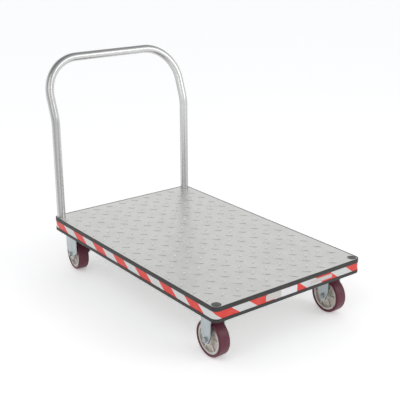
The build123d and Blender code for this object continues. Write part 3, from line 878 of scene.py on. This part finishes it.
def build_forks():
    wheel = bpy.context.scene.truck_wheel
    pressed = bright_zinc("bright_zinc_pressing", wheel.zinc, 40)
    fastener = bright_zinc("zinc_plated_fastener", "#b4b9ba", 10)
    steel = bearing_steel()
    for side in SIDES:
        eased(f"fixed_fork_{side}", f"pressed_fork_front_{side}", 1.2 * MM, "zinc_plate", pressed)
        eased(f"swivel_fork_{side}", f"pressed_fork_rear_{side}", 1.2 * MM, "zinc_plate", pressed)
        eased(f"swivel_plate_{side}", f"swivel_top_{side}", 0.8 * MM, "zinc_plate", pressed)
        for end in ENDS:
            eased(f"axle_bolt_{end}_{side}", f"hex_bolt_{end}_{side}", 0.5 * MM, "fasteners", fastener)
            eased(f"axle_nut_{end}_{side}", f"hex_nut_{end}_{side}", 0.5 * MM, "fasteners", fastener)
    eased("caster_bolts", "plate_bolts", 0.4 * MM, "fasteners", fastener)
    eased("caster_nuts", "plate_nuts", 0.4 * MM, "fasteners", fastener)
    metal = next(m for m in bpy.data.materials if m.name == "extruded_aluminium")
    for end in ENDS:
        for side in SIDES:
            eased(f"caster_pad_{end}_{side}", f"pad_{end}_{side}", 0.5 * MM, "frame", metal)
    for node in frame["nodes"]:
        if node.startswith(("king_pin", "king_nut")):
            dress(node, fastener)
        elif node.startswith(("axle_bush", "wheel_bearings", "swivel_balls")):
            dress(node, steel)


# ------------------------------------------------------------ studio
def soft_light(name, place, target, size, watts):
    """A softbox of this width and height, aimed at a point."""
    lamp = bpy.data.lights.new(name, "AREA")
    lamp.shape = "RECTANGLE"
    lamp.size, lamp.size_y = size
    lamp.energy = watts
    thing = bpy.data.objects.new(name, lamp)
    bpy.context.scene.collection.objects.link(thing)
    thing.location = place
    thing.rotation_euler = (Vector(target) - Vector(place)).to_track_quat("-Z", "Y").to_euler()
    return thing


def build_stage():
    stage = bpy.context.scene.truck_stage
    scene = bpy.context.scene
    reach = 60.0
    form = bmesh.new()
    bmesh.ops.create_grid(form, x_segments=24, y_segments=24, size=reach)
    mesh = mesh_of(form, "floor")
    paper, tree, shader = new_material("matt_backdrop")
    feed(tree, shader, {"Base Color": linear(stage.floor), "Emission Color": linear("#ffffff"),
                        "Emission Strength": stage.floor_glow, "Roughness": 0.9})
    floor = new_object("floor", mesh, paper)

    world = bpy.data.worlds.new("studio_room")
    scene.world = world
    world.use_nodes = True
    tree = world.node_tree
    tree.nodes.clear()
    up = add(tree, "ShaderNodeSeparateXYZ", {"Vector": add(tree, "ShaderNodeTexCoord").outputs["Generated"]})
    height = add(tree, "ShaderNodeMapRange", {"Value": up.outputs[2], "From Min": 0.35, "From Max": 1.0})
    sky = add(tree, "ShaderNodeMix", {0: height.outputs[0], 6: linear("#ffffff"), 7: linear("#a4a6aa")},
              data_type="RGBA")
    room = add(tree, "ShaderNodeBackground", {"Color": sky.outputs[2], "Strength": stage.room_light})
    add(tree, "ShaderNodeOutputWorld", {"Surface": room.outputs[0]})

    soft_light("key_softbox", (1.2, -2.6, 3.4), (0, 0, 0.3), (2.2, 2.2), stage.key_watts)
    soft_light("fill_softbox", (3.6, 2.2, 2.4), (0, 0, 0.3), (2.0, 2.0), stage.fill_watts)
    strip = soft_light("strip_light", (1.60, -3.0, 1.95), (-0.58, 0.35, 0.5), (0.25, 1.2), stage.strip_watts)
    strip.visible_camera = False
    strip.visible_diffuse = False

    camera = bpy.data.cameras.new("camera")
    camera.lens = 75.24
    camera.sensor_width = 36.0
    camera.shift_x = -0.0229
    eye = bpy.data.objects.new("camera", camera)
    scene.collection.objects.link(eye)
    eye.location = (2.7301, -2.0486, 1.6015)
    eye.rotation_euler = (math.pi / 2 - 0.3333, 0.0, 2.4829 - math.pi / 2)
    scene.camera = eye
    scene.view_settings.view_transform = "Standard"


# ------------------------------------------------------------ settings
def length(name, description, default):
    """A length in metres that the user can change."""
    return bpy.props.FloatProperty(name=name, description=description, default=default, unit="LENGTH",
                                   precision=4)


def amount(name, description, default, subtype="NONE"):
    """A plain number, an angle in radians or a power in watts that the user can change."""
    return bpy.props.FloatProperty(name=name, description=description, default=default, subtype=subtype)


def code(name, description, default):
    """An sRGB hex colour code."""
    return bpy.props.StringProperty(name=name, description=description, default=default, maxlen=7)


class TruckDeck(bpy.types.PropertyGroup):
    lug_length: length("Lug length", "Tip to tip", 0.038)
    lug_width: length("Lug width", "Across its middle", 0.012)
    lug_height: length("Lug height", "Above the plate", 0.0016)
    pitch_along: length("Pitch along", "Between like lugs along the deck", 0.0813)
    pitch_across: length("Pitch across", "Between like lugs across the deck", 0.0718)
    start_along: length("Start along", "Place of one lug from the middle, along", 0.0438)
    start_across: length("Start across", "Place of one lug from the middle, across", 0.0045)
    colour: code("Metal", "Colour of the rolled plate", "#d6d6d3")


class TruckEdge(bpy.types.PropertyGroup):
    rib_crown: length("Rib crown", "Radius on the edge of each rib", 0.0014)
    lip: length("Lip", "Stand of the upper rib above the treadplate", 0.0008)
    channel_depth: length("Channel depth", "Depth of the channel for the tape", 0.002)
    stripe_pitch: length("Stripe pitch", "One red and one white block", 0.1702)
    stripe_slant: amount("Slant", "Lean of the blocks in degrees", 53.0)
    stripe_start: length("Stripe start", "First red block on the right side, from the handle's end", 0.0513)
    red: code("Red", "Red blocks", "#d32f26")
    white: code("White", "White blocks", "#c5c7c6")
    rubber: code("Rubber", "Edging", "#232020")


class TruckHandle(bpy.types.PropertyGroup):
    tube_diameter: length("Tube", "Outside diameter of the tube", 0.0381)
    knee_height: length("Knee", "Height of the bend above the deck", 0.458)
    knee_radius: length("Knee radius", "Bend radius at the knee", 0.2)
    corner_radius: length("Corner radius", "Bend radius at the top corners", 0.169)
    lean: amount("Lean", "Lean of the upper part", math.radians(19.85), "ANGLE")
    colour: code("Metal", "Colour of the tube", "#d0d0cf")


class TruckWheel(bpy.types.PropertyGroup):
    tread_depth: length("Tread depth", "Thickness of the polyurethane", 0.0127)
    tread_width: length("Tread width", "Width of the tyre", 0.0508)
    shoulder: length("Shoulder", "Radius of the tyre's shoulder", 0.0065)
    hub_ease: length("Hub edge", "Radius on the hub's edges", 0.0012)
    tread: code("Tread", "Polyurethane", "#59192d")
    hub: code("Hub", "Cast aluminium", "#dad5cf")
    rim: code("Rim", "Machined aluminium", "#cfccc8")
    zinc: code("Zinc", "Plated pressings", "#c2cbcd")


class TruckStage(bpy.types.PropertyGroup):
    floor: code("Floor", "Backdrop", "#fbfbfb")
    floor_glow: amount("Floor glow", "Light of the floor itself", 0.3)
    room_light: amount("Room", "Strength of the room's light", 1.0)
    strip_watts: amount("Strip", "Strip light that glints on bare metal", 4.0, "POWER")
    key_watts: amount("Key", "Key softbox", 18.0, "POWER")
    fill_watts: amount("Fill", "Fill softbox", 28.8, "POWER")


# ------------------------------------------------------------ operators
class TRUCK_OT_treadplate(bpy.types.Operator):
    """Finish the treadplate and raise its lugs"""
    bl_idname = "truck.treadplate"
    bl_label = "Treadplate"

    def execute(self, context):
        build_treadplate()
        return {"FINISHED"}


class TRUCK_OT_frame(bpy.types.Operator):
    """Finish the rails, cross members and handle sockets"""
    bl_idname = "truck.frame"
    bl_label = "Frame"

    def execute(self, context):
        build_frame_finish()
        return {"FINISHED"}


class TRUCK_OT_edge(bpy.types.Operator):
    """Run the rubber edging, the striped tape and the blank labels round the deck"""
    bl_idname = "truck.edge"
    bl_label = "Edging and tape"

    def execute(self, context):
        build_bumper()
        build_tape()
        build_labels()
        return {"FINISHED"}


class TRUCK_OT_handle(bpy.types.Operator):
    """Bend the push handle"""
    bl_idname = "truck.handle"
    bl_label = "Push handle"

    def execute(self, context):
        build_handle()
        return {"FINISHED"}


class TRUCK_OT_casters(bpy.types.Operator):
    """Mould the tyres, finish the hubs and ease the forks and fasteners"""
    bl_idname = "truck.casters"
    bl_label = "Casters"

    def execute(self, context):
        build_wheels()
        build_forks()
        return {"FINISHED"}


class TRUCK_OT_stage(bpy.types.Operator):
    """Set the floor, the room, the lights and the camera"""
    bl_idname = "truck.stage"
    bl_label = "Studio"

    def execute(self, context):
        build_stage()
        return {"FINISHED"}


OPERATORS = (TRUCK_OT_treadplate, TRUCK_OT_frame, TRUCK_OT_edge, TRUCK_OT_handle, TRUCK_OT_casters,
             TRUCK_OT_stage)
SETTINGS = {"truck_deck": TruckDeck, "truck_edge": TruckEdge, "truck_handle": TruckHandle,
            "truck_wheel": TruckWheel, "truck_stage": TruckStage}


class TRUCK_PT_panel(bpy.types.Panel):
    """The truck's pieces and their settings"""
    bl_idname = "TRUCK_PT_panel"
    bl_label = "Platform truck"
    bl_space_type = "VIEW_3D"
    bl_region_type = "UI"
    bl_category = "Truck"

    def draw(self, context):
        for operator in OPERATORS:
            self.layout.operator(operator.bl_idname)
        for name, group in SETTINGS.items():
            box = self.layout.box()
            for setting in group.__annotations__:
                box.prop(getattr(context.scene, name), setting)


def register():
    for group in SETTINGS.values():
        bpy.utils.register_class(group)
    for name, group in SETTINGS.items():
        setattr(bpy.types.Scene, name, bpy.props.PointerProperty(type=group))
    for operator in OPERATORS:
        bpy.utils.register_class(operator)
    bpy.utils.register_class(TRUCK_PT_panel)


def unregister():
    bpy.utils.unregister_class(TRUCK_PT_panel)
    for operator in reversed(OPERATORS):
        bpy.utils.unregister_class(operator)
    for name, group in SETTINGS.items():
        delattr(bpy.types.Scene, name)
        bpy.utils.unregister_class(group)


def main():
    register()
    bpy.ops.truck.treadplate()
    bpy.ops.truck.frame()
    bpy.ops.truck.edge()
    bpy.ops.truck.handle()
    bpy.ops.truck.casters()
    bpy.ops.truck.stage()


if __name__ == "__main__":
    main()
